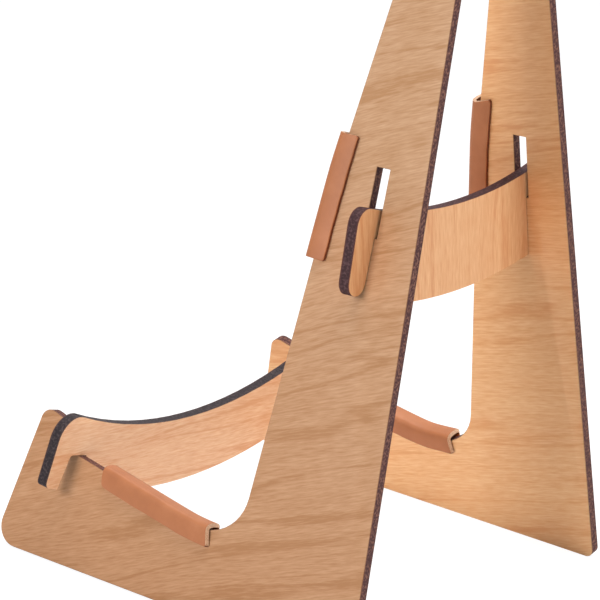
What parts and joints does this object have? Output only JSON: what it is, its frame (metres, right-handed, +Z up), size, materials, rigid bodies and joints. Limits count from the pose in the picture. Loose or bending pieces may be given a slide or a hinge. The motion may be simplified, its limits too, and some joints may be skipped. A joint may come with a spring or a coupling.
{
  "type": "guitar stand",
  "caption": "Free-standing wooden guitar stand: two leaning tapered side panels with forward feet, joined by hooked curved braces, with leather edge pads.",
  "frame": {"origin": "on the floor, at the middle of the stand's width and depth", "axes": "+Z up, -Y to the front where the instrument sits, +X to the stand's side; the two side panels mirror each other about X = 0"},
  "size_m": [0.2592, 0.2246, 0.4116],
  "materials": {
    "panel_veneer": "oiled cherry veneer with laser-browned edges",
    "brace_veneer": "oiled cherry veneer, lighter, with laser-browned edges",
    "tan_leather": "smooth tan leather"
  },
  "bodies": {
    "right_panel": {"right_side_panel": "panel_veneer", "right_upright_pad": "tan_leather", "right_foot_pad": "tan_leather"},
    "left_panel": {"left_side_panel": "panel_veneer", "left_upright_pad": "tan_leather", "left_foot_pad": "tan_leather"},
    "rear_brace": {"rear_brace": "brace_veneer"},
    "front_brace": {"front_brace": "brace_veneer"}
  },
  "joints": [
    {"name": "rear_brace_lift", "type": "slide", "parent": "right_panel", "child": "rear_brace", "axis": [-0.2248, -0.0419, 0.9735], "range_m": [0, 0.0192]},
    {"name": "front_brace_lift", "type": "slide", "parent": "right_panel", "child": "front_brace", "axis": [-0.2241, 0.0874, 0.9706], "range_m": [0, 0.01926]},
    {"name": "left_panel_spread", "type": "slide", "parent": "right_panel", "child": "left_panel", "axis": [-1, 0, 0], "range_m": [0, 0.00863]}
  ],
  "couplings": [
    {"joint": "front_brace_lift", "follows": "rear_brace_lift", "ratio": 1.003},
    {"joint": "left_panel_spread", "follows": "rear_brace_lift", "ratio": 0.44951}
  ]
}
